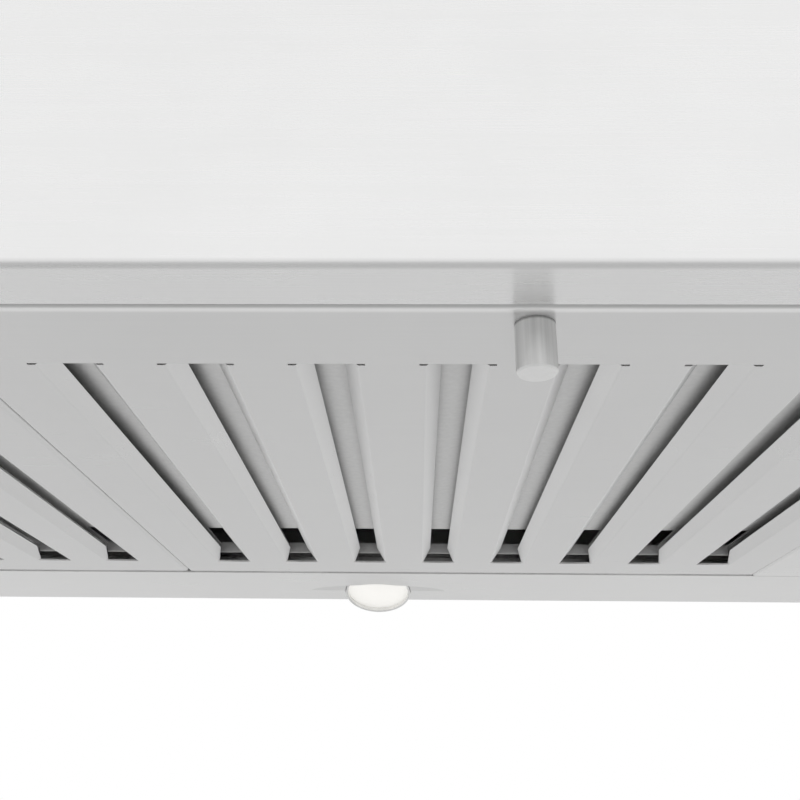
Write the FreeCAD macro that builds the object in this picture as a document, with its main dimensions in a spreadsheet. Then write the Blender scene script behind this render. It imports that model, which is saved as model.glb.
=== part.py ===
import FreeCAD, Part
import math
import os
import re

import Sketcher

# Under cabinet range hood, 48 inch class.  Millimetres.  +X right, +Y to the wall, +Z up.
# The origin is the centre of the roof's four screw slots, on the face that meets the cabinet.

SIZES = {
    # folded body
    "width": 1216, "depth": 460, "height": 254, "roof_depth": 305, "skin": 1.5,
    "face_height": 150, "front_flange": 21.1, "flange_lip": 10, "roof_lap": 18, "rail_lip": 12,
    "seam_front": 0.9, "seam_rear": 3, "seam_side": 0.5, "fold_gap": 0.5, "fit_gap": 0.2,
    "slope_setback": 0.6, "cut_past": 1,
    # baffle filters
    "filter_width": 350, "filter_depth": 345, "filter_height": 12, "filter_skin": 1,
    "rim_height": 8, "rim_bend": 2, "frame_skin": 1.5, "frame_lap": 8,
    "slot_pitch": 40.5, "slot_width": 19, "slot_length": 280, "slot_front": 36,
    "flap_rise": 4.4, "flap_lean": 4.4, "flap_taper": 25, "flap_bend": 0.57,
    "relief_width": 2.4, "relief_length": 1.2,
    "channel_lift": 9, "channel_drop": 4, "channel_lean": 1.7,
    "drain_half": 7.5, "drain_start": 45, "drain_end": 7, "tongue_drop": 4.8,
    "tab_width": 40, "tab_reach": 10, "tab_lift": 2.1, "tab_place": 110,
    "knob_radius": 5.8, "knob_length": 15, "knob_set": 10, "knob_edge": 0.6,
    "screw_radius": 2, "screw_grip": 9, "screw_head": 4, "screw_cap": 2.4,
    # spring clips in front of the filters
    "clip_place": 100, "clip_width": 24, "clip_skin": 0.6, "clip_nose": 2.9,
    "clip_level": 7.5, "clip_half": 2, "clip_foot": 1.5, "window_width": 30, "window_half": 2.6,
    "rail_level": 50, "rail_drop": 20,
    "bar_level": 14, "bar_height": 15, "bar_half": 9, "bar_reach": 20,
    # lamps
    "lamp_spread": 291, "lamp_inset": 31, "lamp_hang": 1.2, "lamp_tilt": 26,
    "lens_radius": 20.5, "lens_set": 3, "lens_skin": 2, "ring_radius": 22.1, "ring_deep": 6,
    "can_deep": 20, "board_set": 9, "board_skin": 1.6, "lamp_clear": 0.4, "led_half": 1.75,
    "led_high": 1, "dish_long": 46, "dish_short": 21.5, "dish_fall": 2.4,
    # push-button control in the front face
    "control_level": 75, "bezel_half": 80, "bezel_radius": 17, "bezel_skin": 2,
    "button_pitch": 30, "button_radius": 7, "button_gap": 0.3, "button_proud": 4,
    "button_collar": 9, "button_stem": 2.5, "stem_length": 8, "button_travel": 2,
    "box_half": 88, "box_rise": 20, "box_deep": 32, "hatch_half": 74, "hatch_rise": 11,
    "switch_half": 3, "switch_high": 3,
    # blower
    "plenum_half": 150, "plenum_front": 90, "plenum_rear": 112, "plenum_drop": 46,
    "blower_reach": 10, "blower_drop": 130, "scroll_near": 60, "scroll_wide": 80,
    "scroll_start": 62, "scroll_end": 88, "scroll_from": 70, "scroll_to": 360,
    "scroll_skin": 1.2, "inlet_radius": 46, "throat_near": 21.7,
    "wheel_radius": 55, "wheel_inner": 45, "wheel_wide": 68, "wheel_play": 6,
    "hub_radius": 12, "hub_long": 20, "hub_play": 4, "wheel_back": 2, "wheel_ring": 3,
    "blade_skin": 1.2, "blade_inset": 0.5, "blade_lead": 2, "blade_tip_lead": 6.9,
    "shaft_radius": 4, "shaft_half": 134, "shaft_play": 0.05,
    "motor_radius": 44, "motor_half": 46, "boss_long": 6, "strap_half": 12, "strap_skin": 2,
    # duct collar and back-draft flaps
    "duct_radius": 100, "collar_skin": 1.2, "collar_rise": 60, "collar_flange": 22,
    "duct_hole": 96, "rod_radius": 2.5, "rod_level": 24, "flap_radius": 97, "flap_skin": 0.8,
    "knuckle_radius": 4, "knuckle_play": 0.08, "knuckle_gap": 1.5, "stop_size": 5,
    "knuckle_middle": 36, "knuckle_near": 44, "knuckle_far": 84,
    "rivet_radius": 2.5, "rivet_head": 5, "rivet_cap": 1.6,
    # electrics and mounting holes
    "terminal_place": 470, "terminal_reach": 105, "terminal_half": 50, "terminal_deep": 32,
    "terminal_drop": 60, "cable_radius": 11, "driver_place": 450, "driver_half": 60,
    "driver_deep": 22, "driver_drop": 28,
    "cabinet_span": 1100, "cabinet_reach": 220, "screw_slot": 3.5, "screw_slot_long": 16,
    "wall_span": 800, "wall_drop": 60, "wall_hole": 3.5,
}

SIDES = {"left": -1, "centre": 0, "right": 1}
ENDS = {"left": -1, "right": 1}
SLOTS = 8
BUTTONS = ("fan_off_button", "fan_low_button", "fan_medium_button", "fan_high_button", "light_button")
BLADES = 30
LEDS = 6
RIVETS = 6
SPIRAL_POINTS = 31
NEAR = 0.1

WALL = "(roof_depth/2)"
FRONT = "(roof_depth/2 - depth)"
FLOOR = "(-height)"
INNER = "(width/2 - skin)"
FLANGE_END = f"({FRONT} + front_flange)"
FILTER_FRONT = f"({FLANGE_END} + seam_front)"
FILTER_REAR = f"({FILTER_FRONT} + filter_depth)"
LAMP_FRONT = f"({FILTER_REAR} + seam_rear)"
FILTER_PITCH = "(filter_width + seam_side)"
SLOT_FRONT = f"({FILTER_FRONT} + slot_front)"
SLOT_REAR = f"({SLOT_FRONT} + slot_length)"
LAMP_REACH = f"({WALL} - lamp_inset)"
CONTROL_Z = f"({FLOOR} + control_level)"

PLANES = {
    "YZ": FreeCAD.Rotation(FreeCAD.Vector(1, 1, 1), 120),
    "XZ": FreeCAD.Rotation(FreeCAD.Vector(1, 0, 0), 90),
    "XY": FreeCAD.Rotation(),
}
NORMALS = {"YZ": ("x", (1, 0, 0)), "XZ": ("y", (0, 1, 0)), "XY": ("z", (0, 0, 1))}
AXES = {
    "x": FreeCAD.Rotation(FreeCAD.Vector(0, 1, 0), 90),
    "y": FreeCAD.Rotation(FreeCAD.Vector(1, 0, 0), -90),
    "z": FreeCAD.Rotation(),
}

doc = FreeCAD.newDocument("range_hood")
nodes = {}


# ---- the sheet of sizes, and the ways a piece is made from it ----

def fill_sheet():
    sheet = doc.addObject("Spreadsheet::Sheet", "Sizes")
    for row, (name, value) in enumerate(SIZES.items(), 1):
        sheet.set(f"A{row}", name)
        sheet.set(f"B{row}", str(value))
        sheet.setAlias(f"B{row}", name)
    doc.recompute()


def size(name):
    """A size's value, read from its cell."""
    return float(doc.Sizes.get(name))


def cell(word):
    name = word.group()
    return f"Sizes.{name}" if name in SIZES else name


def expression(text):
    """Text with each size's name turned into a reference to its cell."""
    return re.sub(r"[a-z_]+", cell, str(text))


def bind(thing, **properties):
    for name, text in properties.items():
        thing.setExpression(name, expression(text))
    return thing


def place(thing, x=0, y=0, z=0):
    for axis, text in (("x", x), ("y", y), ("z", z)):
        thing.setExpression(f"Placement.Base.{axis}", expression(text))
    return thing


def node(name, thing):
    """Makes a finished shape the sub-part called name."""
    thing.Label = name
    nodes[name] = thing
    return thing


def box(low, high):
    made = doc.addObject("Part::Box", "block")
    bind(made, Length=f"({high[0]}) - ({low[0]})", Width=f"({high[1]}) - ({low[1]})",
         Height=f"({high[2]}) - ({low[2]})")
    return place(made, *low)


def cylinder(axis, start, radius, length):
    made = doc.addObject("Part::Cylinder", "round")
    made.Placement = FreeCAD.Placement(FreeCAD.Vector(), AXES[axis])
    bind(made, Radius=radius, Height=length)
    return place(made, *start)


def fuse(*things):
    if len(things) == 1:
        return things[0]
    made = doc.addObject("Part::MultiFuse", "joined")
    made.Shapes = list(things)
    return made


def cut(base, *tools):
    made = doc.addObject("Part::Cut", "cut")
    made.Base = base
    made.Tool = fuse(*tools)
    return made


def common(one, two):
    made = doc.addObject("Part::Common", "common")
    made.Base = one
    made.Tool = two
    return made


def group(*things):
    made = doc.addObject("Part::Compound", "group")
    made.Links = list(things)
    return made


def solid(name, shape, x=0, y=0, z=0):
    """A shape made in code, then put in its place."""
    made = doc.addObject("Part::Feature", name)
    made.Shape = shape
    made.Placement = FreeCAD.Placement(FreeCAD.Vector(x, y, z), FreeCAD.Rotation())
    return made


def outline(plane, points, closed):
    """A sketch of straight lines, drawn anywhere, whose corners are then bound to the sheet."""
    sketch = doc.addObject("Sketcher::SketchObject", "outline")
    sketch.Placement = FreeCAD.Placement(FreeCAD.Vector(), PLANES[plane])
    count = len(points)
    lines = count if closed else count - 1
    spots = [FreeCAD.Vector(step + 1, step * step + 1, 0) for step in range(count)]
    for step in range(lines):
        line = Part.LineSegment(spots[step], spots[(step + 1) % count])
        sketch.addGeometry(line, False)
    for step in range(lines if closed else lines - 1):
        sketch.addConstraint(Sketcher.Constraint("Coincident", step, 2, (step + 1) % lines, 1))
    for step, point in enumerate(points):
        line, end = (step, 1) if step < lines else (step - 1, 2)
        for kind, text, start in zip(("DistanceX", "DistanceY"), point, spots[step]):
            index = sketch.addConstraint(Sketcher.Constraint(kind, line, end, start))
            sketch.setExpression(f"Constraints[{index}]", expression(text))
    return sketch


def extrude(profile, plane, length):
    made = doc.addObject("Part::Extrusion", "run")
    made.Base = profile
    made.DirMode = "Custom"
    made.Dir = NORMALS[plane][1]
    made.Solid = True
    return bind(made, LengthFwd=length)


def prism(plane, points, start, length):
    sketch = outline(plane, points, True)
    sketch.setExpression(f"Placement.Base.{NORMALS[plane][0]}", expression(start))
    return extrude(sketch, plane, length)


def lies_right(sketch, skin):
    """Whether a bent sheet's section lies to the right of its line, seen along its plane."""
    first = sketch.Geometry[0]
    along = first.EndPoint - first.StartPoint
    along.normalize()
    aside = FreeCAD.Vector(along.y, -along.x, 0) * (abs(skin.Value) / 2)
    spot = (first.StartPoint + first.EndPoint) * 0.5 + aside
    return skin.Shape.isInside(sketch.Placement.multVec(spot), 0.01, True)


def folded(plane, points, thickness, start, length):
    """Bent sheet: points run along its inner face, and the sheet lies to their right."""
    sketch = outline(plane, points, False)
    sketch.setExpression(f"Placement.Base.{NORMALS[plane][0]}", expression(start))
    skin = doc.addObject("Part::Offset2D", "skin")
    skin.Source = sketch
    skin.Mode = "Skin"
    skin.Join = 0
    skin.Fill = True
    bind(skin, Value=thickness)
    sketch.recompute()
    skin.recompute()
    if not lies_right(sketch, skin):
        bind(skin, Value=f"-({thickness})")
    return extrude(skin, plane, length)


def ellipse_prism(x, y, z, long_radius, short_radius, length):
    curve = doc.addObject("Part::Ellipse", "oval")
    bind(curve, MajorRadius=long_radius, MinorRadius=short_radius)
    return extrude(place(curve, x, y, z), "XY", length)


# ---- folded body ----

def front_panel():
    """Roof lap, sloping upper face, upright face, bottom flange and its upturned lip."""
    inner_roof = "(-2*skin)"
    points = [
        (f"-{WALL} + roof_lap", inner_roof),
        (f"-{WALL} + slope_setback", inner_roof),
        (f"{FRONT} + skin", f"{FLOOR} + face_height"),
        (f"{FRONT} + skin", f"{FLOOR} + skin"),
        (f"{FLANGE_END} - skin", f"{FLOOR} + skin"),
        (f"{FLANGE_END} - skin", f"{FLOOR} + flange_lip"),
    ]
    sheet = folded("YZ", points, "skin", f"-{INNER}", f"2*{INNER}")
    low = ("-hatch_half", f"{FRONT} - skin", f"{CONTROL_Z} - hatch_rise")
    high = ("hatch_half", f"{FRONT} + 2*skin", f"{CONTROL_Z} + hatch_rise")
    node("front_panel", cut(sheet, box(low, high)))


def side_panels():
    points = [
        (FRONT, FLOOR), (WALL, FLOOR), (WALL, "0"),
        (f"-{WALL}", "0"), (FRONT, f"{FLOOR} + face_height"),
    ]
    node("left_side_panel", prism("YZ", points, "-width/2", "skin"))
    node("right_side_panel", prism("YZ", points, INNER, "skin"))


def cabinet_slot(x_sign, y_sign):
    """One screw slot, longer along the hood's width."""
    run = "(screw_slot_long/2 - screw_slot)"
    centre = (f"{x_sign}*cabinet_span/2", f"{y_sign}*cabinet_reach/2", "-2*skin")
    ends = [cylinder("z", (f"{centre[0]} + {sign}*{run}", *centre[1:]), "screw_slot", "3*skin")
            for sign in ENDS.values()]
    middle = box((f"{centre[0]} - {run}", f"{centre[1]} - screw_slot", centre[2]),
                 (f"{centre[0]} + {run}", f"{centre[1]} + screw_slot", "skin"))
    return fuse(middle, *ends)


def roof_panel():
    plate = box((f"-{INNER}", f"-{WALL}", "-skin"), (INNER, f"{WALL} - skin", "0"))
    duct = cylinder("z", ("0", "0", "-2*skin"), "duct_hole", "3*skin")
    cable = cylinder("z", ("terminal_place", "terminal_reach", "-2*skin"), "cable_radius", "3*skin")
    slots = [cabinet_slot(x_sign, y_sign) for x_sign in ENDS.values() for y_sign in ENDS.values()]
    rivets = collar_rivets("-2*skin", "3*skin", "rivet_radius")
    node("top_panel", cut(plate, duct, cable, *slots, *rivets))


def back_panel():
    plate = box((f"-{INNER}", f"{WALL} - skin", FLOOR), (INNER, WALL, "0"))
    start = f"{WALL} - 2*skin"
    holes = [cylinder("y", (f"{sign}*wall_span/2", start, "-wall_drop"), "wall_hole", "3*skin")
             for sign in ENDS.values()]
    node("back_panel", cut(plate, *holes))


def bottom_rails():
    """The strip on each side of the filters, with an upturned lip along both long edges."""
    filters_end = "(1.5*filter_width + 2*seam_side)"
    start = f"{FLANGE_END} + fold_gap"
    length = f"{LAMP_FRONT} - {FLANGE_END} - 2*fold_gap"
    for side, sign in ENDS.items():
        near = (f"{sign}*({filters_end} + skin)", f"{sign}*({INNER} - skin)")
        points = [
            (near[0], f"{FLOOR} + rail_lip"), (near[0], f"{FLOOR} + skin"),
            (near[1], f"{FLOOR} + skin"), (near[1], f"{FLOOR} + rail_lip"),
        ]
        if sign < 0:
            points.reverse()
        node(f"{side}_bottom_rail", folded("XZ", points, "skin", start, length))


def clip_rail():
    """Angle strip above the filters' front edge that carries the spring clips."""
    level = f"({FLOOR} + rail_level)"
    points = [
        (f"{FLANGE_END} + fit_gap - skin", f"{level} - rail_drop"),
        (f"{FLANGE_END} + fit_gap - skin", f"{level} - skin"),
        (f"{FRONT} + skin", f"{level} - skin"),
    ]
    node("clip_rail", folded("YZ", points, "skin", f"-{INNER}", f"2*{INNER}"))


def filter_dividers():
    """Inverted channels above the seams between filters, with a foot on the lamp panel."""
    start = f"({FLANGE_END} + fit_gap)"
    length = f"({LAMP_FRONT} + bar_reach - {start})"
    base = f"({FLOOR} + bar_level)"
    inner = "(bar_half - skin)"
    for side, sign in ENDS.items():
        centre = f"{sign}*{FILTER_PITCH}/2"
        points = [
            (f"{centre} + {inner}", base), (f"{centre} + {inner}", f"{base} + bar_height - skin"),
            (f"{centre} - {inner}", f"{base} + bar_height - skin"), (f"{centre} - {inner}", base),
        ]
        bar = folded("XZ", points, "skin", start, length)
        foot = box((f"{centre} - bar_half", f"{start} + {length} - skin", f"{FLOOR} + skin"),
                   (f"{centre} + bar_half", f"{start} + {length}", f"{base} + bar_height"))
        node(f"{side}_filter_divider", fuse(bar, foot))


# ---- lamps ----

def lamp_cylinder(sign, near, far, radius):
    """A round solid on a lamp's tilted axis, between two depths behind the lens face."""
    made = doc.addObject("Part::Cylinder", "lamp_round")
    made.Placement = FreeCAD.Placement(
        FreeCAD.Vector(), FreeCAD.Rotation(FreeCAD.Vector(-1, 0, 0), SIZES["lamp_tilt"]))
    made.setExpression("Placement.Rotation.Angle", expression("lamp_tilt * 1 deg"))
    bind(made, Radius=radius, Height=f"({far}) - ({near})")
    return place(made, f"{sign}*lamp_spread",
                 f"{LAMP_REACH} + sin(lamp_tilt * 1 deg)*({near})",
                 f"{FLOOR} - lamp_hang + cos(lamp_tilt * 1 deg)*({near})")


def scoop(sign, margin, low):
    """Front half of an oval dish, as deep as its slanting floor, grown all round by a margin."""
    oval = ellipse_prism(f"{sign}*lamp_spread", LAMP_REACH, low, f"dish_long + {margin}",
                         f"dish_short + {margin}", "can_deep")
    front = f"({LAMP_REACH} - dish_short - {margin})"
    heel = f"({LAMP_REACH} - dish_fall)"
    level = f"({FLOOR} + {margin})"
    rise = f"({heel} - {front})*tan(lamp_tilt * 1 deg)"
    points = [(front, low), (heel, low), (heel, level), (front, f"{level} + {rise}")]
    start = f"{sign}*lamp_spread - dish_long - {margin}"
    return common(oval, prism("YZ", points, start, f"2*(dish_long + {margin})"))


def lamp_panel():
    """Rear strip with a pressed scoop in front of each lamp, and a round hole for its ring."""
    plate = box((f"-{INNER}", LAMP_FRONT, FLOOR), (INNER, f"{WALL} - skin", f"{FLOOR} + skin"))
    shells = [scoop(sign, "skin", FLOOR) for sign in ENDS.values()]
    hollows = [scoop(sign, "0", f"({FLOOR} - cut_past)") for sign in ENDS.values()]
    holes = [lamp_cylinder(sign, "-lens_radius", "can_deep", "ring_radius + lamp_clear")
             for sign in ENDS.values()]
    node("lamp_panel", cut(fuse(plate, *shells), *hollows, *holes))


def lamp(side, sign):
    ring = cut(lamp_cylinder(sign, "0", "ring_deep", "ring_radius"),
               lamp_cylinder(sign, "-cut_past", "ring_deep + cut_past", "lens_radius"))
    node(f"{side}_lamp_ring", ring)
    node(f"{side}_lamp_lens",
         lamp_cylinder(sign, "lens_set", "lens_set + lens_skin", "lens_radius"))
    can = cut(lamp_cylinder(sign, "ring_deep", "can_deep", "ring_radius"),
              lamp_cylinder(sign, "ring_deep - cut_past", "can_deep - skin", "ring_radius - skin"))
    node(f"{side}_lamp_housing", can)
    board = [lamp_cylinder(sign, "board_set", "board_set + board_skin", "ring_radius - skin")]
    board += [led(sign, f"({360 * step / LEDS} * 1 deg)") for step in range(LEDS)]
    node(f"{side}_led_board", fuse(*board))


def led(sign, angle):
    """One light source on the lamp's board, half way out to the lens's edge."""
    made = lamp_cylinder(sign, "board_set - led_high", "board_set", "led_half")
    front = "(board_set - led_high)"
    across = f"sin({angle})*lens_radius/2"
    tilt = "(lamp_tilt * 1 deg)"
    return place(made, f"{sign}*lamp_spread + cos({angle})*lens_radius/2",
                 f"{LAMP_REACH} + sin{tilt}*{front} + cos{tilt}*{across}",
                 f"{FLOOR} - lamp_hang + cos{tilt}*{front} - sin{tilt}*{across}")


# ---- baffle filters ----

def slot_centres(count):
    return [f"{step - (count - 1) / 2}*slot_pitch" for step in range(count)]


def flap(centre, edge, level, turn, rise, lean):
    """One folded slot edge: edge is -1 or +1, and turn is +1 for a flap that rises."""
    bend = f"({centre} + {edge}*(slot_width/2 + flap_bend))"
    face = f"({level} + {turn}*filter_skin)"
    points = [
        (f"{centre} + {edge}*(slot_width/2 + relief_width)", face),
        (bend, face),
        (f"{bend} - {edge}*{lean}", f"{face} + {turn}*{rise}"),
    ]
    if edge * turn > 0:
        points.reverse()
    return folded("XZ", points, "filter_skin", f"{SLOT_FRONT} + relief_length",
                  "slot_length - relief_length")


def slotted(plate, centres, level, turn, rise, lean):
    """Opens the slots in a plate and folds their long edges up or down."""
    wide = "(slot_width/2 + relief_width)"
    holes = [box((f"{centre} - {wide}", SLOT_FRONT, f"{level} - 2*filter_skin"),
                 (f"{centre} + {wide}", SLOT_REAR, f"{level} + 2*filter_skin")) for centre in centres]
    flaps = [flap(centre, edge, level, turn, rise, lean) for centre in centres for edge in (-1, 1)]
    return fuse(cut(plate, *holes), *flaps)


def flap_taper(middle):
    """The wedge that trims the flaps' rear ends down to the plate."""
    face = f"({FLOOR} + filter_skin)"
    top = f"({face} + flap_rise + filter_skin)"
    points = [
        (f"{SLOT_REAR} - flap_taper", top), (SLOT_REAR, face),
        (f"{SLOT_REAR} + {NEAR}", face), (f"{SLOT_REAR} + {NEAR}", top),
    ]
    return prism("YZ", points, f"{middle} - {SLOTS}*slot_pitch/2", f"{SLOTS}*slot_pitch")


def clip_windows(middle):
    """The two openings in a filter's front wall that its spring clips' noses stand in."""
    level = f"({FLOOR} + clip_level)"
    return [box((f"{middle} + {sign}*clip_place - window_width/2", f"{FILTER_FRONT} - cut_past",
                 f"{level} - window_half"),
                (f"{middle} + {sign}*clip_place + window_width/2",
                 f"{FILTER_FRONT} + 2*(filter_skin + frame_skin)", f"{level} + window_half"))
            for sign in ENDS.values()]


def rounded_box(low, high):
    """A block whose bottom and upright edges are rounded, as folded sheet is."""
    block = box(low, high)
    doc.recompute()
    floor = block.Shape.BoundBox.ZMin
    roof = block.Shape.BoundBox.ZMax
    edges = [number for number, edge in enumerate(block.Shape.Edges, 1)
             if min(point.Z for point in edge.Vertexes) < floor + NEAR or
             max(point.Z for point in edge.Vertexes) < roof - NEAR]
    made = doc.addObject("Part::Fillet", "rounded")
    made.Base = block
    made.Edges = [(number, size("rim_bend"), size("rim_bend")) for number in edges]
    return made


def filter_block(middle, inset, low, high):
    """A block over a filter's whole plan, drawn in by an inset."""
    return box((f"{middle} - filter_width/2 + {inset}", f"{FILTER_FRONT} + {inset}", low),
               (f"{middle} + filter_width/2 - {inset}", f"{FILTER_REAR} - {inset}", high))


def filter_plate(side, middle):
    """Lower sheet with a low rim, slots whose long edges are folded up, and two rear tabs."""
    half = "filter_width/2"
    tray = rounded_box((f"{middle} - {half}", FILTER_FRONT, FLOOR),
                       (f"{middle} + {half}", FILTER_REAR, f"{FLOOR} + rim_height"))
    hollow = filter_block(middle, "filter_skin", f"{FLOOR} + filter_skin", f"{FLOOR} + height")
    screw = cylinder("z", (middle, f"{FILTER_FRONT} + knob_set", f"{FLOOR} - cut_past"),
                     "screw_radius", "filter_skin + 2*cut_past")
    centres = [f"({middle} + {centre})" for centre in slot_centres(SLOTS)]
    blank = cut(tray, hollow, screw, *clip_windows(middle))
    plate = slotted(blank, centres, FLOOR, 1, "flap_rise", "flap_lean")
    level = f"{FLOOR} + tab_lift"
    tabs = [box((f"{middle} + {sign}*tab_place - tab_width/2", f"{FILTER_REAR} - filter_skin", level),
                (f"{middle} + {sign}*tab_place + tab_width/2", f"{LAMP_FRONT} + tab_reach",
                 f"{level} + filter_skin")) for sign in ENDS.values()]
    node(f"{side}_filter_plate", fuse(cut(plate, flap_taper(middle)), *tabs))


def filter_channels(side, middle):
    """Upper sheet whose closed strips cover the slots below, with its slots' edges folded down.

    Each strip has a drain opening at its rear end, with a tongue hanging from its far edge.
    """
    level = f"({FLOOR} + channel_lift)"
    top = f"({level} + filter_skin)"
    sheet = filter_block(middle, "(filter_skin + frame_skin)", level, top)
    drains = [box((f"{middle} + {centre} - drain_half", f"{SLOT_REAR} - drain_start",
                   f"{level} - cut_past"),
                  (f"{middle} + {centre} + drain_half", f"{SLOT_REAR} - drain_end",
                   f"{top} + cut_past"))
              for centre in slot_centres(SLOTS)]
    hang = f"{SLOT_REAR} - drain_end"
    tongues = [box((f"{middle} + {centre} - drain_half", hang, f"{level} - tongue_drop"),
                   (f"{middle} + {centre} + drain_half", f"{hang} + filter_skin", top))
               for centre in slot_centres(SLOTS)]
    centres = [f"({middle} + {centre})" for centre in slot_centres(SLOTS - 1)]
    strips = slotted(cut(sheet, *drains), centres, top, -1, "channel_drop", "channel_lean")
    node(f"{side}_filter_channels", fuse(strips, *tongues))


def filter_frame(side, middle):
    """Channel round the filter's edge: an upright wall with an inward flange on top."""
    skin = "(filter_skin + frame_skin)"
    top = f"({FLOOR} + filter_height)"
    frame = cut(filter_block(middle, "filter_skin", f"{FLOOR} + filter_skin", top),
                filter_block(middle, skin, FLOOR, f"{top} - frame_skin"),
                filter_block(middle, f"({skin} + frame_lap)", FLOOR, f"{top} + cut_past"),
                *clip_windows(middle))
    node(f"{side}_filter_frame", frame)


def filter_knob(side, middle):
    reach = f"{FILTER_FRONT} + knob_set"
    body = cylinder("z", (middle, reach, f"{FLOOR} - knob_length + knob_edge"), "knob_radius",
                    "knob_length - knob_edge")
    tip = doc.addObject("Part::Cone", "knob_tip")
    bind(tip, Radius1="knob_radius - knob_edge", Radius2="knob_radius", Height="knob_edge")
    place(tip, middle, reach, f"{FLOOR} - knob_length")
    thread = cylinder("z", (middle, reach, f"{FLOOR} - screw_grip"), "screw_radius",
                      "screw_grip + cut_past")
    node(f"{side}_filter_knob", cut(fuse(body, tip), thread))
    shank = cylinder("z", (middle, reach, f"{FLOOR} - screw_grip"), "screw_radius",
                     "screw_grip + filter_skin")
    head = cylinder("z", (middle, reach, f"{FLOOR} + filter_skin"), "screw_head", "screw_cap")
    node(f"{side}_knob_screw", fuse(shank, head))


def filter_clips(side, middle):
    """Two spring leaves whose noses stand in the windows of the filter's front wall."""
    leaf = f"({FLANGE_END} + fit_gap + clip_skin)"
    level = f"({FLOOR} + clip_level)"
    points = [
        (leaf, f"{level} - clip_half - clip_foot"), (leaf, f"{level} - clip_half"),
        (f"{leaf} + clip_nose - clip_skin", level),
        (leaf, f"{level} + clip_half"), (leaf, f"{FLOOR} + rail_level - skin"),
    ]
    leaves = [folded("YZ", list(reversed(points)), "clip_skin",
                     f"{middle} + {sign}*clip_place - clip_width/2", "clip_width")
              for sign in ENDS.values()]
    node(f"{side}_filter_clips", group(*leaves))


# ---- push-button control ----

def stadium(half, radius, y_low, y_high):
    """A block with round ends, upright in the front face."""
    length = f"({y_high}) - ({y_low})"
    ends = [cylinder("y", (f"{sign}*({half} - {radius})", y_low, CONTROL_Z), radius, length)
            for sign in ENDS.values()]
    middle = box((f"-({half} - {radius})", y_low, f"{CONTROL_Z} - {radius}"),
                 (f"{half} - {radius}", y_high, f"{CONTROL_Z} + {radius}"))
    return fuse(middle, *ends)


def button_places():
    return [f"{step - (len(BUTTONS) - 1) / 2}*button_pitch" for step in range(len(BUTTONS))]


def control():
    face = f"({FRONT} - bezel_skin)"
    holes = [cylinder("y", (x, f"{face} - cut_past", CONTROL_Z), "button_radius + button_gap",
                      "bezel_skin + 2*cut_past") for x in button_places()]
    node("control_bezel", cut(stadium("bezel_half", "bezel_radius", face, FRONT), *holes))

    low = ("-box_half", f"{FRONT} + skin", f"{CONTROL_Z} - box_rise")
    high = ("box_half", f"{FRONT} + skin + box_deep", f"{CONTROL_Z} + box_rise")
    inside = box((f"{low[0]} + skin", f"{low[1]} - cut_past", f"{low[2]} + skin"),
                 (f"{high[0]} - skin", f"{high[1]} - skin", f"{high[2]} - skin"))
    node("control_box", cut(box(low, high), inside))

    stem_tip = f"({FRONT} + button_gap + skin + stem_length)"
    switch = f"({stem_tip} + button_travel + button_gap)"
    back = f"({switch} + switch_high)"
    board = [box(("-hatch_half", back, f"{CONTROL_Z} - box_rise + skin"),
                 ("hatch_half", f"{back} + board_skin", f"{CONTROL_Z} + box_rise - skin"))]
    board += [box((f"{x} - switch_half", switch, f"{CONTROL_Z} - switch_half"),
                  (f"{x} + switch_half", back, f"{CONTROL_Z} + switch_half")) for x in button_places()]
    node("control_board", fuse(*board))

    for name, x in zip(BUTTONS, button_places()):
        cap = cylinder("y", (x, f"{face} - button_proud", CONTROL_Z), "button_radius",
                       "button_proud + bezel_skin + button_gap")
        collar = cylinder("y", (x, f"{FRONT} + button_gap", CONTROL_Z), "button_collar", "skin")
        stem = cylinder("y", (x, f"{FRONT} + button_gap", CONTROL_Z), "button_stem",
                        "skin + stem_length")
        node(name, fuse(cap, collar, stem))


# ---- blower ----

def volute(inset, roof):
    """Spiral outline in the YZ plane: one growing turn that runs straight up to the outlet."""
    reach, drop = size("blower_reach"), -size("blower_drop")
    begin, turn = size("scroll_from"), size("scroll_to") - size("scroll_from")
    growth = size("scroll_end") / size("scroll_start")
    points = []
    for step in range(SPIRAL_POINTS):
        share = step / (SPIRAL_POINTS - 1)
        angle = math.radians(begin + turn * share)
        radius = size("scroll_start") * growth ** share - inset
        points.append(FreeCAD.Vector(0, reach + radius * math.cos(angle), drop + radius * math.sin(angle)))
    spiral = Part.BSplineCurve()
    spiral.interpolate(points)
    start, end = points[0], points[-1]
    corners = [end, FreeCAD.Vector(0, end.y, roof), FreeCAD.Vector(0, start.y, roof), start]
    lines = [Part.makeLine(one, two) for one, two in zip(corners, corners[1:])]
    return Part.Face(Part.Wire([spiral.toShape(), *lines]))


def disc(radius, thickness, start):
    """A round plate or hub across the X axis."""
    return Part.makeCylinder(radius, thickness, FreeCAD.Vector(*start), FreeCAD.Vector(1, 0, 0))


def scroll(side, sign):
    """Blower housing: a hollow spiral with a shaft hole through it and an inlet on its outer side."""
    skin, wide, near, past = (size(name) for name in
                              ("scroll_skin", "scroll_wide", "scroll_near", "cut_past"))
    roof = -size("plenum_drop")
    axle = (size("blower_reach"), -size("blower_drop"))
    shell = volute(0, roof).extrude(FreeCAD.Vector(wide, 0, 0))
    hollow = volute(skin, roof + past).extrude(FreeCAD.Vector(wide - 2 * skin, 0, 0))
    hollow.translate(FreeCAD.Vector(skin, 0, 0))
    hub = disc(size("hub_radius") + size("hub_play"), wide + 2 * past, (-past, *axle))
    mouth_at = wide / 2 if sign > 0 else -past
    mouth = disc(size("inlet_radius"), wide / 2 + past, (mouth_at, *axle))
    left = near if sign > 0 else -near - wide
    node(f"{side}_scroll_housing", solid(f"{side}_scroll", shell.cut([hollow, hub, mouth]), left))


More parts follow.
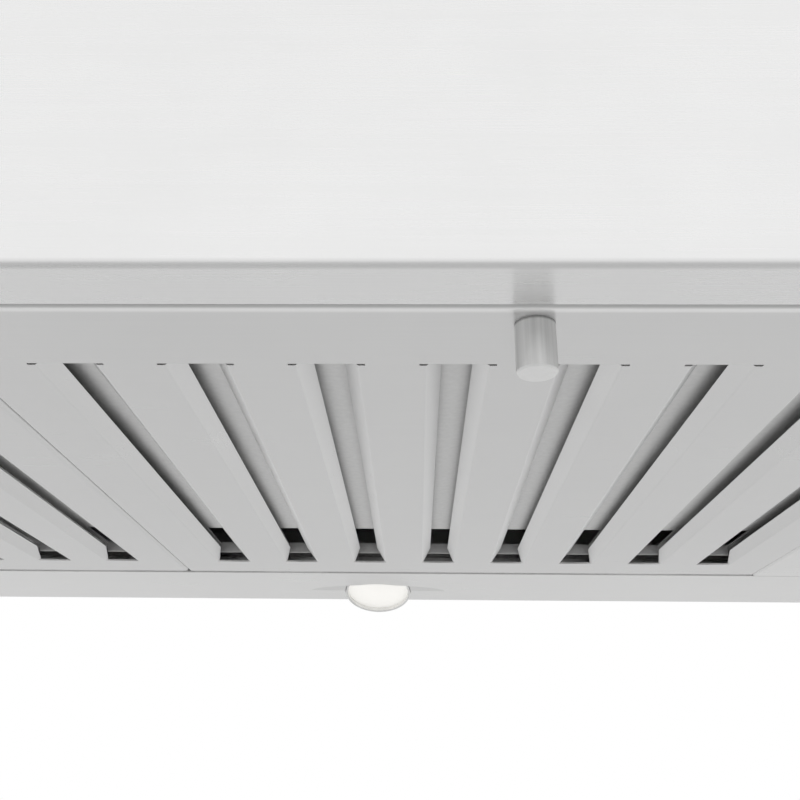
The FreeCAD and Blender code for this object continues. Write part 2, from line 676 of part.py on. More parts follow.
def blade(angle):
    """One forward-curved blade: a thin bowed strip between the cage's inner and outer radius."""
    turn = math.radians(angle)
    radius_in = size("wheel_inner") + size("blade_inset")
    radius_out = size("wheel_radius") - size("blade_inset")
    middle = (radius_in + radius_out) / 2
    lead, tip_lead = math.radians(size("blade_lead")), math.radians(size("blade_tip_lead"))

    def spot(radius, ahead):
        return FreeCAD.Vector(0, radius * math.cos(turn + ahead), radius * math.sin(turn + ahead))

    def bow(shift):
        return Part.Arc(spot(radius_in, shift), spot(middle, shift + lead),
                        spot(radius_out, shift + tip_lead))

    first, second = bow(0), bow(size("blade_skin") / middle)
    edges = [first.toShape(), Part.makeLine(first.EndPoint, second.EndPoint),
             second.toShape(), Part.makeLine(second.StartPoint, first.StartPoint)]
    face = Part.Face(Part.Wire(Part.sortEdges(edges)[0]))
    return face.extrude(FreeCAD.Vector(size("wheel_wide"), 0, 0))


def wheel(side, sign):
    """Squirrel-cage wheel: back plate and hub towards the motor, open ring at the outer side."""
    outer, wide = size("wheel_radius"), size("wheel_wide")
    near = size("scroll_near") + size("wheel_play")

    def part(radius, thickness, inward):
        start = 0 if (sign > 0) == inward else wide - thickness
        return disc(radius, thickness, (start, 0, 0))

    ring = part(outer, size("wheel_ring"), False).cut(part(size("wheel_inner"), size("wheel_ring"), False))
    back = part(outer, size("wheel_back"), True)
    hub = part(size("hub_radius"), size("hub_long"), True)
    blades = [blade(360 * step / BLADES) for step in range(BLADES)]
    bore = disc(size("shaft_radius"), wide, (0, 0, 0))
    left = near if sign > 0 else -near - wide
    node(f"{side}_blower_wheel", solid(f"{side}_wheel", back.fuse([hub, ring, *blades]).cut(bore), left,
                                       size("blower_reach"), -size("blower_drop")))


def plenum():
    """Box under the roof that joins both housings' outlets to the duct."""
    shell = box(("-plenum_half", "-plenum_front", "-plenum_drop"), ("plenum_half", "plenum_rear", "-skin"))
    skin = "scroll_skin"
    hollow = box((f"-plenum_half + {skin}", f"-plenum_front + {skin}", f"-plenum_drop + {skin}"),
                 (f"plenum_half - {skin}", f"plenum_rear - {skin}", "0"))
    half = f"(scroll_wide/2 - {skin})"
    throats = []
    for sign in ENDS.values():
        middle = f"{sign}*(scroll_near + scroll_wide/2)"
        low = (f"{middle} - {half}", "blower_reach + throat_near", "-plenum_drop - cut_past")
        high = (f"{middle} + {half}", f"blower_reach + scroll_end - {skin}", f"-plenum_drop + 2*{skin}")
        throats.append(box(low, high))
    node("exhaust_plenum", cut(shell, hollow, *throats))


def across(half, radius):
    """A round solid on the blower's axis, the same distance to each side of the middle."""
    return cylinder("x", (f"-({half})", "blower_reach", "-blower_drop"), radius, f"2*({half})")


def motor():
    node("blower_shaft", across("shaft_half", "shaft_radius"))
    boss_half = "motor_half + boss_long"
    bore = across(f"{boss_half} + cut_past", "shaft_radius + shaft_play")
    node("blower_motor", cut(fuse(across("motor_half", "motor_radius"), across(boss_half, "hub_radius")),
                             bore))


def motor_bracket():
    """Strap round the motor, with a leg on each side up to the plenum."""
    strap = "(motor_radius + strap_skin)"
    edges = [(f"blower_reach - {strap}", f"blower_reach - {strap} + strap_skin"),
             (f"blower_reach + {strap} - strap_skin", f"blower_reach + {strap}")]
    legs = [box(("-strap_half", low, "-blower_drop"), ("strap_half", high, "-plenum_drop"))
            for low, high in edges]
    node("motor_bracket", cut(fuse(across("strap_half", strap), *legs),
                              across("strap_half + cut_past", "motor_radius")))


# ---- duct collar and back-draft flaps ----

def collar_rivets(start, length, radius):
    middle = "(duct_radius + collar_flange/2)"
    angles = [360 * (step + 0.5) / RIVETS for step in range(RIVETS)]
    return [cylinder("z", (f"cos({angle} * 1 deg)*{middle}", f"sin({angle} * 1 deg)*{middle}", start),
                     radius, length) for angle in angles]


def damper_stops():
    """Small ledge at each side of the sleeve, just under the closed flaps."""
    wall = "(duct_radius - collar_skin/2)"
    top = "rod_level - button_gap - flap_skin/2"
    ledges = [box(("-stop_size", f"{sign}*{wall} - stop_size", f"{top} - stop_size"),
                  ("stop_size", f"{sign}*{wall} + stop_size", top)) for sign in ENDS.values()]
    return common(fuse(*ledges), cylinder("z", (0, 0, 0), "duct_radius", "collar_rise"))


def duct_collar():
    """Round sleeve on a flat flange, with holes for its rivets and for the flaps' rod."""
    centre = ("0", "0", "0")
    body = fuse(cylinder("z", centre, "duct_radius + collar_flange", "skin"),
                cylinder("z", centre, "duct_radius", "collar_rise"))
    bore = cylinder("z", ("0", "0", "-cut_past"), "duct_radius - collar_skin", "collar_rise + 2*cut_past")
    rod_half = "(duct_radius + cut_past)"
    rod = cylinder("x", (f"-{rod_half}", "0", "rod_level"), "rod_radius", f"2*{rod_half}")
    holes = collar_rivets("-cut_past", "skin + 2*cut_past", "rivet_radius")
    node("duct_collar", cut(fuse(cut(body, bore), damper_stops()), rod, *holes))
    node("damper_rod", cylinder("x", ("fit_gap - duct_radius", "0", "rod_level"), "rod_radius",
                                "2*(duct_radius - fit_gap)"))
    shanks = collar_rivets("-skin", "2*skin", "rivet_radius")
    heads = collar_rivets("skin", "rivet_cap", "rivet_head")
    node("collar_rivets", group(*[fuse(*pair) for pair in zip(shanks, heads)]))


def damper_flap(name, near, far, own, others):
    """Half disc hung on the rod by its own knuckles; it lies closed on the collar's stops."""
    level = "(rod_level - flap_skin/2)"
    disc_part = cylinder("z", ("0", "0", level), "flap_radius", "flap_skin")
    keep = box(("-flap_radius - cut_past", near, f"{level} - cut_past"),
               ("flap_radius + cut_past", far, f"{level} + flap_skin + cut_past"))
    reach = "(knuckle_radius + knuckle_gap)"
    relief = [box((f"{start} - knuckle_gap", f"-{reach}", f"rod_level - {reach}"),
                  (f"{end} + knuckle_gap", reach, f"rod_level + {reach}")) for start, end in others]
    tubes = [cylinder("x", (start, "0", "rod_level"), "knuckle_radius", f"{end} - ({start})")
             for start, end in own]
    bore = cylinder("x", ("-duct_radius", "0", "rod_level"), "rod_radius + knuckle_play", "2*duct_radius")
    node(name, cut(fuse(cut(common(disc_part, keep), *relief), *tubes), bore))


def damper():
    """Two half-disc flaps whose knuckles share one rod."""
    outer = [("-knuckle_far", "-knuckle_near"), ("knuckle_near", "knuckle_far")]
    middle = [("-knuckle_middle", "knuckle_middle")]
    edge, gap = "flap_radius + cut_past", "knuckle_radius/2"
    damper_flap("front_damper_flap", f"-({edge})", f"-{gap}", outer, middle)
    damper_flap("rear_damper_flap", gap, edge, middle, outer)


# ---- electrics ----

def electrics():
    low = ("terminal_place - terminal_half", "terminal_reach - terminal_deep", "-terminal_drop")
    high = ("terminal_place + terminal_half", "terminal_reach + terminal_deep", "-skin")
    inside = box((f"{low[0]} + skin", f"{low[1]} + skin", f"{low[2]} + skin"),
                 (f"{high[0]} - skin", f"{high[1]} - skin", "0"))
    node("terminal_box", cut(box(low, high), inside))
    node("led_driver", box(
        ("-driver_place - driver_half", "terminal_reach - driver_deep", "-skin - driver_drop"),
        ("-driver_place + driver_half", "terminal_reach + driver_deep", "-skin")))


def build():
    fill_sheet()
    front_panel()
    side_panels()
    roof_panel()
    back_panel()
    bottom_rails()
    clip_rail()
    filter_dividers()
    lamp_panel()
    for side, sign in ENDS.items():
        lamp(side, sign)
        scroll(side, sign)
        wheel(side, sign)
    for side, sign in SIDES.items():
        middle = f"({sign}*{FILTER_PITCH})"
        filter_plate(side, middle)
        filter_channels(side, middle)
        filter_frame(side, middle)
        filter_knob(side, middle)
        filter_clips(side, middle)
    control()
    plenum()
    motor()
    motor_bracket()
    duct_collar()
    damper()
    electrics()
    doc.recompute()


def check():
    for thing in doc.Objects:
        if {"Invalid", "Error"} & set(thing.State):
            raise SystemExit(f"{thing.Label} failed: {thing.State}")
    for name, thing in nodes.items():
        if thing.Shape.isNull() or not thing.Shape.isValid() or not thing.Shape.Solids:
            raise SystemExit(f"{name} has no valid solid")


def write():
    os.makedirs("parts", exist_ok=True)
    for name, thing in nodes.items():
        thing.Shape.exportStep(f"parts/{name}.step")


build()
check()
write()
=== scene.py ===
"""Looks of the under cabinet range hood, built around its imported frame.  Metres, +Z up, +Y to the wall."""
import math

import bmesh
import bpy
from mathutils import Matrix, Vector

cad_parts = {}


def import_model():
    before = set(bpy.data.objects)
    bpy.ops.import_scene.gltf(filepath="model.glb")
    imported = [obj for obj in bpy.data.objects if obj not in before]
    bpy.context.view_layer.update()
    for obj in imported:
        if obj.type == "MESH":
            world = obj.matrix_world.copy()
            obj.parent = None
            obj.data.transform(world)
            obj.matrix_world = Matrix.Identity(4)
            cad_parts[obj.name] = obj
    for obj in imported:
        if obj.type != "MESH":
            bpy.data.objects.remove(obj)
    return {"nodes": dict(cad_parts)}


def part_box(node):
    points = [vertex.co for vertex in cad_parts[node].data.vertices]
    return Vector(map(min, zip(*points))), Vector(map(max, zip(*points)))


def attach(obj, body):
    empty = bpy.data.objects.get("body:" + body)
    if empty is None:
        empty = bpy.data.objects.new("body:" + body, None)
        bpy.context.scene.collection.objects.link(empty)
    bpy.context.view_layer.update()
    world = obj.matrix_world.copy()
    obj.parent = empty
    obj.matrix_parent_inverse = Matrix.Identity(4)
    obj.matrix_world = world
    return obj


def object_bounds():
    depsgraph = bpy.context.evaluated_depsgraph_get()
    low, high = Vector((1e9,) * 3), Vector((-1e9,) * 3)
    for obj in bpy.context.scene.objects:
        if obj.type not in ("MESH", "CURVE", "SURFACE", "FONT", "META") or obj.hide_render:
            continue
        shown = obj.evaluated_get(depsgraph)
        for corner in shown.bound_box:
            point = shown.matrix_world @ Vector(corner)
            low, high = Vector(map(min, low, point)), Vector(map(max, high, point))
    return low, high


# Camera: how far it is right of the hood's middle, ahead of its front and below its underside, in
# metres, its turns in degrees, and its lens and sensor in millimetres
CAMERA_RIGHT = 0.3179
CAMERA_AHEAD = 0.1924
CAMERA_BELOW = 0.1162
CAMERA_PITCH = 22.6
CAMERA_YAW = 1.23
CAMERA_ROLL = 0.65
CAMERA_LENS = 40.5
SENSOR = 36.0

# The nearest and the furthest that the camera draws
CLIP_NEAR = 0.01
CLIP_FAR = 50.0

# Floor: how far it is below the hood, its width and its paint
FLOOR_DROP = 1.15
FLOOR_SIZE = 14.0
FLOOR_DARK = (0.70, 0.70, 0.70)
FLOOR_LIGHT = (0.74, 0.74, 0.74)
FLOOR_CLOUD_SCALE = 0.8
FLOOR_ROUGHNESS = 0.8

# Colour of the surround, which lights the hood
WHITE = (1.0, 1.0, 1.0, 1.0)

SIDES = ("left", "centre", "right")
ENDS = ("left", "right")
BUTTONS = ("fan_off_button", "fan_low_button", "fan_medium_button", "fan_high_button", "light_button")

# Directions of grain, and of the smear that a brushed surface gives its reflections
ACROSS = (1.0, 0.0, 0.0)
DEEP = (0.0, 1.0, 0.0)
UP_OR_DEEP = (0.0, 1.0, 1.0)
UP_OR_ACROSS = (1.0, 0.0, 1.0)
MOSTLY_UP = (0.0, 0.12, 1.0)


# ---- node helpers ----

# The mix node's colour sockets share their names with its number sockets, so they go by place
COLOR_A = 6
COLOR_B = 7
COLOR_RESULT = 2

# Where the values of a noise texture nearly all lie
NOISE_LOW = 0.3
NOISE_HIGH = 0.7


class Tree:
    """A material's nodes, with short ways to add and link them."""

    def __init__(self, name):
        self.material = bpy.data.materials.new(name)
        self.material.use_nodes = True
        self.tree = self.material.node_tree
        self.shader = self.tree.nodes["Principled BSDF"]
        coordinates = self.add("ShaderNodeTexCoord")
        self.place = coordinates.outputs["Object"]
        self.normal = coordinates.outputs["Normal"]

    def add(self, kind, **settings):
        made = self.tree.nodes.new(kind)
        for key, value in settings.items():
            setattr(made, key, value)
        return made

    def link(self, output, node, socket):
        self.tree.links.new(output, node.inputs[socket])

    def set(self, **values):
        for name, value in values.items():
            self.shader.inputs[name.replace("_", " ")].default_value = value

    def feed(self, node, socket, value):
        """Links a socket's output, or sets a plain number."""
        if isinstance(value, bpy.types.NodeSocket):
            self.tree.links.new(value, node.inputs[socket])
        else:
            node.inputs[socket].default_value = value

    def calc(self, operation, one, two=0.0):
        node = self.add("ShaderNodeMath", operation=operation)
        self.feed(node, 0, one)
        self.feed(node, 1, two)
        return node.outputs["Value"]

    def vector(self, operation, one, two, output="Vector"):
        node = self.add("ShaderNodeVectorMath", operation=operation)
        self.feed(node, 0, one)
        self.feed(node, 1, two)
        return node.outputs[output]

    def remap(self, value, start, end, low, high):
        """Straight line from low at start to high at end, held outside that span."""
        span = self.add("ShaderNodeMapRange")
        for socket, number in (("From Min", start), ("From Max", end), ("To Min", low), ("To Max", high)):
            self.feed(span, socket, number)
        self.link(value, span, "Value")
        return span.outputs["Result"]

    def noise(self, scale, detail=2.0, roughness=0.5):
        """Noise whose scale may differ along each axis, in repeats a metre."""
        noise = self.add("ShaderNodeTexNoise")
        noise.inputs["Scale"].default_value = 1.0
        noise.inputs["Detail"].default_value = detail
        noise.inputs["Roughness"].default_value = roughness
        self.link(self.vector("MULTIPLY", self.place, scale), noise, "Vector")
        return noise.outputs["Fac"]

    def spread(self, value, low=0.0, high=1.0):
        """Maps a noise, which keeps near its middle, to the span from low to high."""
        return self.remap(value, NOISE_LOW, NOISE_HIGH, low, high)

    def blend(self, one, two, share=0.5):
        mix = self.add("ShaderNodeMix", data_type="FLOAT")
        self.feed(mix, "Factor", share)
        self.feed(mix, "A", one)
        self.feed(mix, "B", two)
        return mix.outputs["Result"]

    def tint(self, value, dark, light):
        """A colour from dark at 0 to light at 1."""
        ramp = self.add("ShaderNodeMix", data_type="RGBA")
        ramp.inputs[COLOR_A].default_value = (*dark, 1.0)
        ramp.inputs[COLOR_B].default_value = (*light, 1.0)
        self.link(value, ramp, "Factor")
        return ramp.outputs[COLOR_RESULT]

    def part(self, vector, axis):
        """One number of a vector: its X, Y or Z."""
        split = self.add("ShaderNodeSeparateXYZ")
        self.link(vector, split, "Vector")
        return split.outputs[axis]

    def smear(self, direction):
        """Sets the direction in which an anisotropic surface smears what it mirrors."""
        joined = self.add("ShaderNodeCombineXYZ")
        for axis, length in zip("XYZ", direction):
            joined.inputs[axis].default_value = length
        self.link(joined.outputs["Vector"], self.shader, "Tangent")

    def scale(self, color, factor):
        return self.vector("MULTIPLY", color, factor)

    def bump(self, value, height, strength=1.0):
        bump = self.add("ShaderNodeBump")
        bump.inputs["Strength"].default_value = strength
        bump.inputs["Distance"].default_value = height
        self.link(value, bump, "Height")
        self.link(bump.outputs["Normal"], self.shader, "Normal")

    def near_line(self, y, z, reach, tone):
        """A factor that is the tone on a line along X, and 1 from a reach away from it."""
        flat = self.vector("MULTIPLY", self.place, (0.0, 1.0, 1.0))
        away = self.vector("DISTANCE", flat, (0.0, y, z), "Value")
        return self.remap(away, 0.0, reach, tone, 1.0)


def shade(color, factor):
    """A colour made darker or lighter by a factor, but no brighter than white."""
    return tuple(min(1.0, part * factor) for part in color)


def even(scale):
    """The same noise scale along every axis."""
    return (scale, scale, scale)


def stretched(along, fine, coarse):
    """Noise scale that is coarse along one axis, which draws grain in that direction."""
    return tuple(coarse if part else fine for part in along)


# ---- materials ----

# Noise scales are in repeats a metre, bump heights in metres. Tones are factors on the colour.

# Brushed sheet: each grain's scale across its lines and along them, the other noises' scales and
# shares, and how much the noises change the tone, the roughness and the height
FINE_GRAIN = (1500.0, 14.0)
BROAD_GRAIN = (160.0, 2.5)
BROAD_SHARE = 0.35
CLOUD_SCALE = 5.0
CLOUD_SHARE = 0.3
SMUDGE_SCALE = 22.0
GRAIN_DARKER = 0.035
GRAIN_LIGHTER = 0.03
GRAIN_SMOOTHER = 0.04
GRAIN_ROUGHER = 0.05
SMUDGE_SMOOTHER = 0.015
SMUDGE_ROUGHER = 0.02
GRAIN_HEIGHT = 0.000012
GRAIN_BUMP = 0.6


def brushed(name, color, roughness, along, blur, grain=1.0, anisotropic=0.7, painted_light_bands=()):
    """Brushed sheet: fine grain along one axis, and reflections that smear along another.

    Each band is a factor on the colour that paints shade or a highlight along an edge, made by a function of
    the tree.
    """
    made = Tree(name)
    fine = made.noise(stretched(along, *FINE_GRAIN), detail=3.0, roughness=0.6)
    broad = made.noise(stretched(along, *BROAD_GRAIN), detail=2.0)
    cloud = made.noise(even(CLOUD_SCALE), detail=3.0)
    smudge = made.noise(even(SMUDGE_SCALE), detail=4.0, roughness=0.65)
    grains = made.blend(fine, broad, BROAD_SHARE)
    value = made.spread(made.blend(grains, cloud, CLOUD_SHARE))
    tone = made.tint(value, shade(color, 1 - GRAIN_DARKER * grain), shade(color, 1 + GRAIN_LIGHTER * grain))
    # Painted shade and painted highlights along edges, multiplied into the colour
    for painted_band in painted_light_bands:
        tone = made.scale(tone, painted_band(made))
    made.link(tone, made.shader, "Base Color")
    rough = made.spread(grains, roughness - GRAIN_SMOOTHER * grain, roughness + GRAIN_ROUGHER * grain)
    worn = made.spread(smudge, -SMUDGE_SMOOTHER, SMUDGE_ROUGHER)
    made.link(made.calc("ADD", rough, worn), made.shader, "Roughness")
    made.set(Metallic=1.0, Anisotropic=anisotropic)
    made.smear(blur)
    made.bump(grains, GRAIN_HEIGHT * grain, GRAIN_BUMP)
    return made.material


# Mill finish: a fine grit over a soft cloud
GRIT_SCALE = 420.0
MILL_CLOUD_SCALE = 16.0
MILL_DARK = 0.93
MILL_LIGHT = 1.05
MILL_SMOOTHER = 0.05
MILL_ROUGHER = 0.06
GRIT_HEIGHT = 0.00002
GRIT_BUMP = 0.4


def satin(name, color, roughness, metallic=1.0):
    """Mill-finish sheet inside the hood: dull, and it scatters light more than it mirrors it."""
    made = Tree(name)
    fine = made.noise(even(GRIT_SCALE), detail=3.0)
    cloud = made.noise(even(MILL_CLOUD_SCALE), detail=3.0)
    value = made.spread(made.blend(fine, cloud))
    tone = made.tint(value, shade(color, MILL_DARK), shade(color, MILL_LIGHT))
    made.link(tone, made.shader, "Base Color")
    rough = made.spread(cloud, roughness - MILL_SMOOTHER, roughness + MILL_ROUGHER)
    made.link(rough, made.shader, "Roughness")
    made.set(Metallic=metallic)
    made.bump(fine, GRIT_HEIGHT, GRIT_BUMP)
    return made.material


# Plain metal: cloudy wear, and the size of a galvanised sheet's crystals
WEAR_SCALE = 30.0
SPANGLE_SCALE = 90.0
WEAR_DARK = 0.86
WEAR_LIGHT = 1.12
WEAR_SMOOTHER = 0.05
WEAR_ROUGHER = 0.08
WEAR_HEIGHT = 0.00004
WEAR_BUMP = 0.3


def plain_metal(name, color, roughness, spangle=0.0):
    """Sheet or cast metal with soft cloudy wear, and spangles if it is galvanised."""
    made = Tree(name)
    cloud = made.noise(even(WEAR_SCALE), detail=4.0)
    value = made.spread(cloud)
    if spangle:
        cells = made.add("ShaderNodeTexVoronoi")
        cells.inputs["Scale"].default_value = SPANGLE_SCALE
        made.link(made.place, cells, "Vector")
        split = made.add("ShaderNodeSeparateColor")
        made.link(cells.outputs["Color"], split, "Color")
        value = made.blend(value, split.outputs["Red"], spangle)
    tone = made.tint(value, shade(color, WEAR_DARK), shade(color, WEAR_LIGHT))
    made.link(tone, made.shader, "Base Color")
    rough = made.spread(cloud, roughness - WEAR_SMOOTHER, roughness + WEAR_ROUGHER)
    made.link(rough, made.shader, "Roughness")
    made.set(Metallic=1.0)
    made.bump(cloud, WEAR_HEIGHT, WEAR_BUMP)
    return made.material


# Turned knob: lines along its length, which on the bottom face nearly give way to one even tone, a
# share of the way from the dark one to the light one
KNOB_GRAIN = (900.0, 900.0, 20.0)
KNOB_STREAKS = (330.0, 330.0, 8.0)
KNOB_STREAK_SHARE = 0.6
KNOB_EVEN = 0.55
FACES_DOWN = -0.9
FACES_OUT = -0.5
GRAIN_LEFT_ON_FACE = 0.15
KNOB_DARK = 0.78
KNOB_LIGHT = 1.12
KNOB_SMOOTHER = 0.03
KNOB_ROUGHER = 0.05
KNOB_BLUR = 0.95
KNOB_HEIGHT = 0.000008
KNOB_BUMP = 0.5
# Painted shade: the dark ring at the knob's base and how far below its top end it starts and ends. Painted
# highlight: how much brighter the bottom face is made
BASE_PAINTED_SHADE_TONE = 0.42
BASE_PAINTED_SHADE_START = 0.0009
BASE_PAINTED_SHADE_END = 0.0002
BOTTOM_PAINTED_HIGHLIGHT = 1.32


def turned(name, color, roughness, base):
    """Round knob brushed along its length: a dark ring of painted shade at its base, and a painted highlight
    that brightens its bottom face.

    Both stand for what the knob mirrors in the photo, and base is the height of its top end.
    """
    made = Tree(name)
    grain = made.noise(KNOB_GRAIN, detail=3.0)
    streaks = made.noise(KNOB_STREAKS, detail=2.0)
    facing = made.part(made.normal, "Z")
    side = made.remap(facing, FACES_DOWN, FACES_OUT, GRAIN_LEFT_ON_FACE, 1.0)
    lines = made.spread(made.blend(grain, streaks, KNOB_STREAK_SHARE))
    value = made.blend(KNOB_EVEN, lines, side)
    tone = made.tint(value, shade(color, KNOB_DARK), shade(color, KNOB_LIGHT))
    height = made.part(made.place, "Z")
    # Painted shade in a ring at the knob's base, and a painted highlight on its bottom face
    ring = made.remap(height, base - BASE_PAINTED_SHADE_START, base - BASE_PAINTED_SHADE_END, 1.0, BASE_PAINTED_SHADE_TONE)
    face = made.remap(side, GRAIN_LEFT_ON_FACE, 1.0, BOTTOM_PAINTED_HIGHLIGHT, 1.0)
    made.link(made.scale(tone, made.calc("MULTIPLY", ring, face)), made.shader, "Base Color")
    rough = made.spread(grain, roughness - KNOB_SMOOTHER, roughness + KNOB_ROUGHER)
    made.link(rough, made.shader, "Roughness")
    made.set(Metallic=1.0, Anisotropic=KNOB_BLUR)
    made.smear(MOSTLY_UP)
    made.bump(grain, KNOB_HEIGHT, KNOB_BUMP)
    return made.material


# Moulded plastic and paint
PEBBLE_SCALE = 2200.0
PEBBLE_HEIGHT = 0.00002
GLOSS_PEBBLE_HEIGHT = 0.000004
PEBBLE_BUMP = 0.5
PLASTIC_CLOUD_SCALE = 18.0
PLASTIC_DARK = 0.88
PLASTIC_LIGHT = 1.12
PLASTIC_SMOOTHER = 0.04
PLASTIC_ROUGHER = 0.06
PLASTIC_IOR = 1.5


def moulded(name, color, roughness, grain=PEBBLE_HEIGHT):
    """Moulded plastic or paint: fine pebbled grain and a slight change of tone."""
    made = Tree(name)
    fine = made.noise(even(PEBBLE_SCALE), detail=2.0)
    cloud = made.noise(even(PLASTIC_CLOUD_SCALE), detail=3.0)
    tone = made.tint(made.spread(cloud), shade(color, PLASTIC_DARK), shade(color, PLASTIC_LIGHT))
    made.link(tone, made.shader, "Base Color")
    rough = made.spread(cloud, roughness - PLASTIC_SMOOTHER, roughness + PLASTIC_ROUGHER)
    made.link(rough, made.shader, "Roughness")
    made.set(Metallic=0.0, IOR=PLASTIC_IOR)
    made.bump(fine, grain, PEBBLE_BUMP)
    return made.material


# Frosted lamp lens
MOTTLE_SCALE = 90.0
MOTTLE_DARK = 0.97
FROST_SCALE = 1500.0
FROST_HEIGHT = 0.00002
FROST_BUMP = 0.4
LENS_ROUGHNESS = 0.45
LENS_IOR = 1.45


def lit_lens(name, color, glow):
    """Frosted diffuser over lit diodes, with a faint mottle."""
    made = Tree(name)
    cloud = made.noise(even(MOTTLE_SCALE), detail=2.0)
    made.link(made.tint(made.spread(cloud), shade(color, MOTTLE_DARK), color), made.shader, "Base Color")
    made.set(Metallic=0.0, Roughness=LENS_ROUGHNESS, IOR=LENS_IOR)
    made.set(Emission_Color=(*color, 1.0), Emission_Strength=glow)
    fine = made.noise(even(FROST_SCALE), detail=2.0)
    made.bump(fine, FROST_HEIGHT, FROST_BUMP)
    return made.material


# Colours of the steel, chosen so that what the photo shows comes out as light as it is there
STEEL = (0.80, 0.80, 0.80)
UNDER_STEEL = (0.795, 0.795, 0.79)
FILTER_STEEL = (0.765, 0.765, 0.762)
FACE_STEEL = (0.88, 0.88, 0.878)
KNOB_STEEL = (0.70, 0.70, 0.695)

# Tone along the front panel's two long edges: painted shade at its bend, and a painted highlight, a little
# brighter, at its flange's end
BEND_PAINTED_SHADE_REACH = 0.0023
BEND_PAINTED_SHADE_TONE = 0.66
FLANGE_END_HIGHLIGHT_REACH = 0.0025
FLANGE_END_PAINTED_HIGHLIGHT = 1.06

# Tone along the filter's front edge: painted shade in the seam, and a painted highlight where its bend meets
# the flat
SEAM_PAINTED_SHADE_TONE = 0.70
SEAM_EDGE = 0.0005
EDGE_PAINTED_HIGHLIGHT_TONE = 1.24
EDGE_HIGHLIGHT_START = 0.0011
EDGE_HIGHLIGHT_END = 0.0017
EVEN_FROM = 0.0030


def materials():
    """Every finish by name: its colour, its roughness and, on brushed sheet, its directions."""
    front_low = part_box("front_panel")[0]
    filter_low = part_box("centre_filter_plate")[0]
    knob_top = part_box("centre_filter_knob")[1].z

    # Painted shade along the front panel's bend
    def bend_painted_shade(tree):
        return tree.near_line(front_low.y, front_low.z, BEND_PAINTED_SHADE_REACH, BEND_PAINTED_SHADE_TONE)

    # Painted highlight along the end of the front panel's flange
    def flange_end_painted_highlight(tree):
        return tree.near_line(filter_low.y, front_low.z, FLANGE_END_HIGHLIGHT_REACH, FLANGE_END_PAINTED_HIGHLIGHT)

    # Painted shade in the seam at the filter's front edge, then a painted highlight along its bend
    def filter_edge_painted_light(tree):
        behind = tree.calc("SUBTRACT", tree.part(tree.place, "Y"), filter_low.y)
        rise = tree.remap(behind, SEAM_EDGE, EDGE_HIGHLIGHT_START, SEAM_PAINTED_SHADE_TONE, EDGE_PAINTED_HIGHLIGHT_TONE)
        fall = tree.remap(behind, EDGE_HIGHLIGHT_END, EVEN_FROM, 1.0, 1.0 / EDGE_PAINTED_HIGHLIGHT_TONE)
        return tree.calc("MULTIPLY", rise, fall)

    return {
        # The front panel's and the filters' steel carry painted shade and painted highlights along their
        # edges
        "face": brushed("face_steel", FACE_STEEL, 0.28, ACROSS, UP_OR_DEEP, anisotropic=0.95,
                        painted_light_bands=(bend_painted_shade, flange_end_painted_highlight)),
        "back": brushed("back_steel", STEEL, 0.32, ACROSS, UP_OR_DEEP),
        "side": brushed("side_steel", STEEL, 0.30, DEEP, UP_OR_ACROSS),
        "under": brushed("under_steel", UNDER_STEEL, 0.30, ACROSS, DEEP),
        "baffle": brushed("baffle_steel", FILTER_STEEL, 0.30, ACROSS, DEEP, grain=0.7,
                          anisotropic=0.9, painted_light_bands=(filter_edge_painted_light,)),
        "channel": satin("channel_steel", (0.745, 0.745, 0.74), 0.60),
        "knob": turned("knob_steel", KNOB_STEEL, 0.32, knob_top),
        "rim": plain_metal("rim_steel", (0.80, 0.80, 0.79), 0.22),
        "button": plain_metal("button_steel", FILTER_STEEL, 0.24),
        "inner": satin("inner_steel", (0.70, 0.71, 0.72), 0.55, metallic=0.8),
        "spring": plain_metal("spring_steel", (0.42, 0.44, 0.48), 0.28),
        "screw": plain_metal("screw_steel", (0.68, 0.68, 0.67), 0.25),
        "can": plain_metal("cast_aluminium", (0.60, 0.61, 0.62), 0.45),
        "galvanised": plain_metal("galvanised_steel", (0.62, 0.64, 0.66), 0.45, spangle=0.5),
        "flap": plain_metal("flap_aluminium", (0.76, 0.77, 0.78), 0.35),
        "shaft": plain_metal("shaft_steel", (0.72, 0.72, 0.72), 0.18),
        "lens": lit_lens("lamp_diffuser", (0.93, 0.918, 0.885), 0.33),
        "board": moulded("led_board", (0.85, 0.85, 0.82), 0.45),
        "circuit": moulded("circuit_board", (0.03, 0.16, 0.06), 0.4),
        "bezel": moulded("bezel_gloss", (0.012, 0.012, 0.014), 0.12, GLOSS_PEBBLE_HEIGHT),
        "plastic": moulded("black_plastic", (0.03, 0.03, 0.033), 0.5),
        "paint": moulded("motor_paint", (0.03, 0.03, 0.034), 0.35),
        "ink": moulded("button_ink", (0.05, 0.05, 0.055), 0.4, GLOSS_PEBBLE_HEIGHT),
    }


